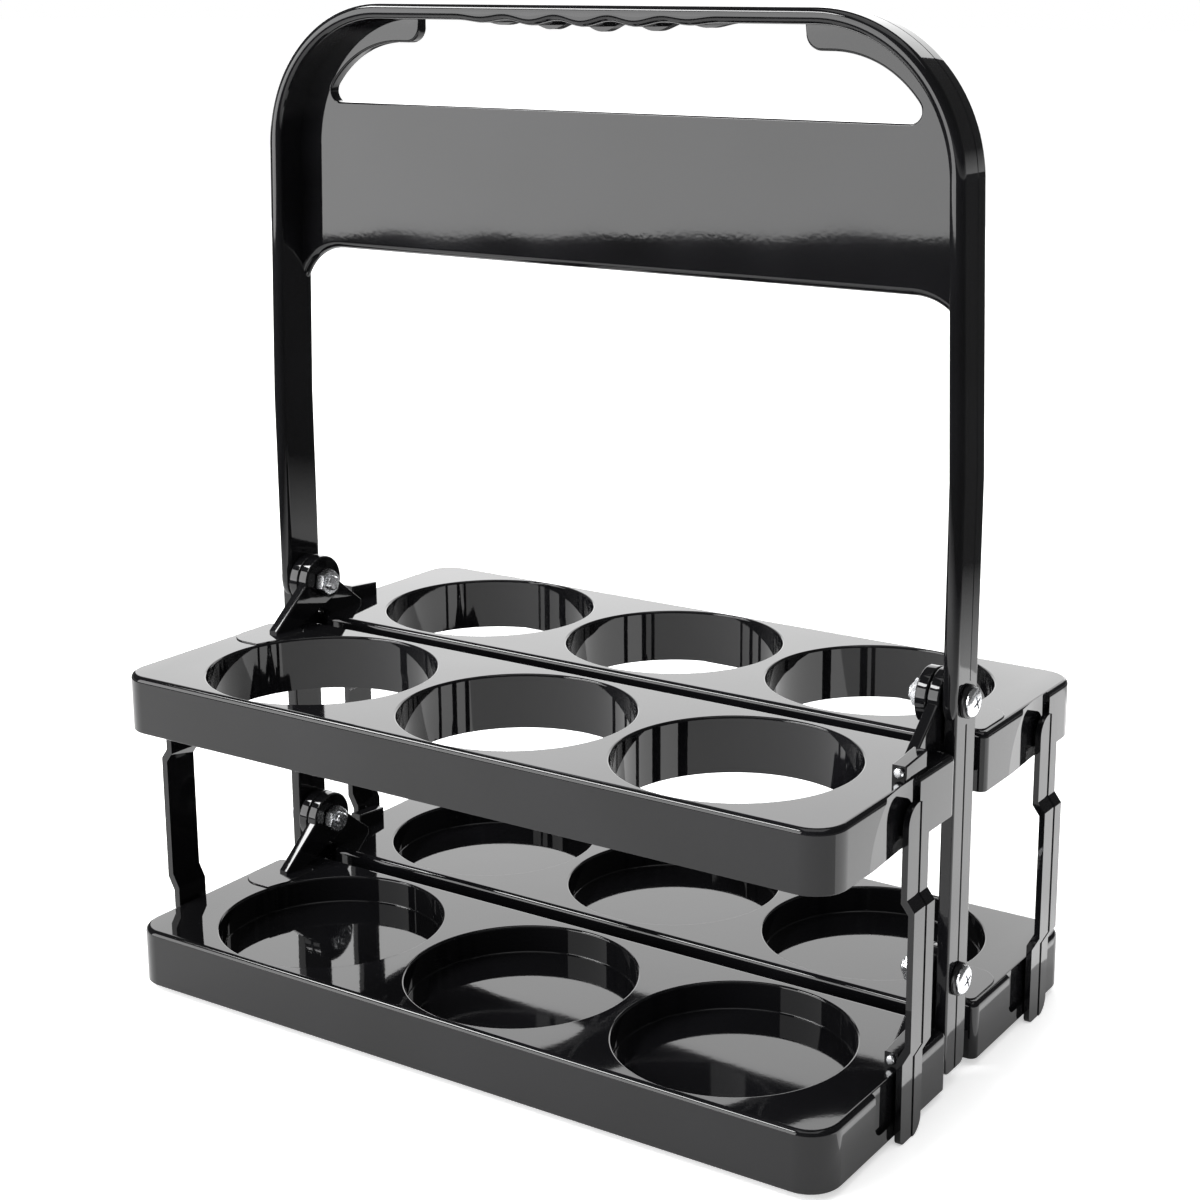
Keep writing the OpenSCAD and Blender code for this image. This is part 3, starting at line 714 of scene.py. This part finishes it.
def boltShape():
    f = fastener
    x, r, s = f["washerX"] + f["washerThick"], f["headSize"] / 2, hinge["bolt"] / 2
    top = x + f["headThick"]
    profile = [(0, f["tail"]), (s - 0.5, f["tail"]), (s, f["tail"] + 0.5)]
    for i in range(f["threads"]):    # the threads that show past the nut and behind it
        z = f["tail"] + 0.7 + i * f["threadPitch"]
        profile += [(s, z), (s - f["threadDeep"], z + 0.4)]
    profile += [(s, f["tail"] + 8.2), (s, x), (r - 0.25, x), (r, x + 0.25)]
    profile += [(r, x + 0.7), (r * 0.93, x + 1.15), (r * 0.78, x + 1.5), (r * 0.55, top - 0.1),
                (r * 0.3, top), (0, top)]
    bolt = turned(profile, 64, "X")
    for angle in (0.4, 0.4 + math.pi / 2):
        wide, long = f["crossWide"] / 2, f["crossLong"] / 2
        slot = thicken(drawFace((-wide, -long), [(wide, -long), (wide, long), (-wide, long)]),
                       top - f["crossDeep"], top + 1)
        place(slot, Matrix.Rotation(math.pi / 2, 4, "Y"))
        place(slot, Matrix.Rotation(angle, 4, "X"))
        combined(bolt, "DIFFERENCE", slot)
    return bolt


def nutShape():
    f = fastener
    bm = bmesh.new()
    bmesh.ops.create_circle(bm, cap_ends=True, segments=6, radius=f["nutFlats"] / math.sqrt(3))
    place(bm, Matrix.Rotation(math.radians(f["nutTurn"]), 4, "Z"))
    thicken(bm, f["nutX"], f["nutX"] + f["nutThick"])
    alongX(bm)
    r, x0, x1 = f["nutFlats"] / math.sqrt(3) + 0.05, f["nutX"], f["nutX"] + f["nutThick"]
    chamfer = turned([(0, x0 - 0.1), (r - 0.9, x0 - 0.1), (r, x0 + 0.5), (r, x1 - 0.5),
                      (r - 0.9, x1 + 0.1), (0, x1 + 0.1)], 64, "X")
    combined(bm, "INTERSECT", chamfer)
    hole = turned([(0, x0 - 1), (hinge["bore"] / 2, x0 - 1), (hinge["bore"] / 2, x1 + 1),
                   (0, x1 + 1)], 48, "X")
    return combined(bm, "DIFFERENCE", hole)


def washerShape():
    f = fastener
    r, x0, x1 = f["washerSize"] / 2, f["washerX"], f["washerX"] + f["washerThick"]
    bore = hinge["bore"] / 2
    ring = [(bore, x0), (r - 0.2, x0), (r, x0 + 0.3), (r, x1 - 0.5), (r - 0.4, x1), (bore, x1),
            (bore, x0)]
    return turned(ring, 72, "X")


def pinShape():
    r, low, high, c = pin["radius"], pin["low"], pin["high"], pin["round"]
    bm = turned([(0, low), (r, low), (r, high)] + filletPoints(r - c, high, c, 0, 90, 4)
                + [(0, high + c)], 32)
    place(bm, Matrix.Rotation(math.pi / 2, 4, "X"))
    return moved(bm, x=tray["pinX"], z=tray["pinUp"])


makers = {"bolt": (boltShape, "bright_steel"), "nut": (nutShape, "bright_steel"),
          "washer": (washerShape, "washer_plastic")}
for kind, (maker, slot) in makers.items():
    plain = maker()
    for level in ("lower", "upper"):
        for side in ("left", "right"):
            bm = halfTurn(copied(plain)) if side == "left" else copied(plain)
            moved(bm, z=levels[level] + hinge["up"])
            finishPiece(f"steel_{kind}_{level}_{side}" if slot == "bright_steel"
                        else f"nylon_{kind}_{level}_{side}", bm, slot, "frame",
                        f"{kind}_{level}_{side}")
    plain.free()
for level in ("lower", "upper"):
    for side in ("front", "back"):
        bm = pinShape() if side == "front" else halfTurn(pinShape())
        finishPiece(f"steel_pin_{level}_{side}", moved(bm, z=levels[level]), "bright_steel",
                    f"{level}_{side}_tray", f"keeper_pin_{level}_{side}")
print("carrier: bolts, nuts, washers and pins made")


# Floor and light

studio = {
    "floorSize": 30.0, "floorColour": "#f8f8f8", "floorGlow": 0.5, "glowInGloss": 0.3,
    "world": 0.55,
    "table": (0.5, 0.7), "horizon": (0.0, 0.12), "ceiling": 0.1, "fill": 0.5,
    # name: place, size, aimed at, strength in watts
    "lamps": {
        "backBox": ((-1.1, 2.0, 0.9), (2.6, 1.5), (0, 0, 0.15), 34),
        "leftBox": ((-1.05, -1.5, 0.68), (1.6, 1.25), (0, 0, 0.68), 38),
        "floorCard": ((0.32, 0.155, 0.004), (0.36, 0.43), (0.32, 0.155, 1), 0.75),
        "topBox": ((0.1, -0.2, 2.1), (1.6, 1.6), (0, 0, 0), 12),
        "edgeStrip": ((-0.75, -0.65, 1.2), (1.0, 0.22), (0, -0.08, 0.1), 18),
    },
}


def makeFloor():
    bm = bmesh.new()
    bmesh.ops.create_grid(bm, x_segments=1, y_segments=1, size=studio["floorSize"])
    mesh = bpy.data.meshes.new("floor")
    bm.to_mesh(mesh)
    bm.free()
    floor = bpy.data.objects.new("floor", mesh)
    bpy.context.scene.collection.objects.link(floor)
    material, tree, place = startMaterial("paleFloor")
    path = addNode(tree, "ShaderNodeLightPath")
    matt = addNode(tree, "ShaderNodeBsdfDiffuse", {"Color": toLinear(studio["floorColour"])})
    seen = addNode(tree, "ShaderNodeMath", {"operation": "MAXIMUM"})
    tree.links.new(path.outputs["Is Camera Ray"], seen.inputs[0])
    soft = addNode(tree, "ShaderNodeMath", {"operation": "MULTIPLY"})
    tree.links.new(path.outputs["Is Glossy Ray"], soft.inputs[0])
    soft.inputs[1].default_value = studio["glowInGloss"]
    tree.links.new(soft.outputs[0], seen.inputs[1])
    glow = addNode(tree, "ShaderNodeEmission", {"Color": (1, 1, 1, 1)})
    amount = addNode(tree, "ShaderNodeMath", {"operation": "MULTIPLY"})
    tree.links.new(seen.outputs[0], amount.inputs[0])
    amount.inputs[1].default_value = studio["floorGlow"]
    tree.links.new(amount.outputs[0], glow.inputs["Strength"])
    both = addNode(tree, "ShaderNodeAddShader")
    tree.links.new(matt.outputs[0], both.inputs[0])
    tree.links.new(glow.outputs[0], both.inputs[1])
    # Past the table's edge, reflections show a dim room
    reach = addNode(tree, "ShaderNodeVectorMath", {"operation": "LENGTH"}, {"Vector": place})
    past = addNode(tree, "ShaderNodeMapRange",
                   {"From Min": studio["table"][0], "From Max": studio["table"][1]},
                   {"Value": reach.outputs["Value"]})
    far = addNode(tree, "ShaderNodeMath", {"operation": "MULTIPLY"})
    tree.links.new(past.outputs[0], far.inputs[0])
    tree.links.new(path.outputs["Is Glossy Ray"], far.inputs[1])
    room = addNode(tree, "ShaderNodeEmission",
                   {"Color": (1, 1, 1, 1), "Strength": studio["ceiling"]})
    mixed = addNode(tree, "ShaderNodeMixShader", links={"Fac": far.outputs[0]})
    tree.links.new(both.outputs[0], mixed.inputs[1])
    tree.links.new(room.outputs[0], mixed.inputs[2])
    endMaterial(tree, mixed)
    mesh.materials.append(material)


def makeWorld():
    world = bpy.data.worlds.new("studio")
    bpy.context.scene.world = world
    world.use_nodes = True
    tree = world.node_tree
    tree.nodes.clear()
    path = addNode(tree, "ShaderNodeLightPath")
    seen = addNode(tree, "ShaderNodeMath", {"operation": "MAXIMUM"})
    tree.links.new(path.outputs["Is Camera Ray"], seen.inputs[0])
    tree.links.new(path.outputs["Is Glossy Ray"], seen.inputs[1])
    way = addNode(tree, "ShaderNodeTexCoord").outputs["Generated"]
    upright = addNode(tree, "ShaderNodeSeparateXYZ", links={"Vector": way})
    # White round the horizon, and a dim ceiling above it
    dome = addNode(tree, "ShaderNodeMapRange",
                   {"From Min": studio["horizon"][0], "From Max": studio["horizon"][1],
                    "To Min": 1.0, "To Max": studio["ceiling"]}, {"Value": upright.outputs["Z"]})
    shown = addNode(tree, "ShaderNodeMath", {"operation": "MAXIMUM"})
    tree.links.new(path.outputs["Is Camera Ray"], shown.inputs[0])
    tree.links.new(dome.outputs[0], shown.inputs[1])
    level = addNode(tree, "ShaderNodeMix", {"data_type": "FLOAT"})
    tree.links.new(seen.outputs[0], level.inputs[0])
    level.inputs[2].default_value = studio["world"]
    tree.links.new(shown.outputs[0], level.inputs[3])
    sky = addNode(tree, "ShaderNodeBackground", {"Color": (1, 1, 1, 1)},
                  {"Strength": level.outputs[0]})
    addNode(tree, "ShaderNodeOutputWorld", links={"Surface": sky.outputs[0]})


def makeLamps():
    for name, (spot, size, aim, watts) in studio["lamps"].items():
        data = bpy.data.lights.new(name, "AREA")
        data.shape = "RECTANGLE"
        data.size, data.size_y = size
        data.energy = watts
        data.diffuse_factor = studio["fill"]
        lamp = bpy.data.objects.new(name, data)
        away = Vector(spot) - Vector(aim)
        lamp.matrix_world = (Matrix.Translation(spot)
                             @ away.to_track_quat("Z", "Y").to_matrix().to_4x4())
        lamp.visible_camera = False
        bpy.context.scene.collection.objects.link(lamp)


makeFloor()
makeWorld()
makeLamps()
bpy.context.scene.view_settings.view_transform = "Standard"
print("carrier: floor and light made")
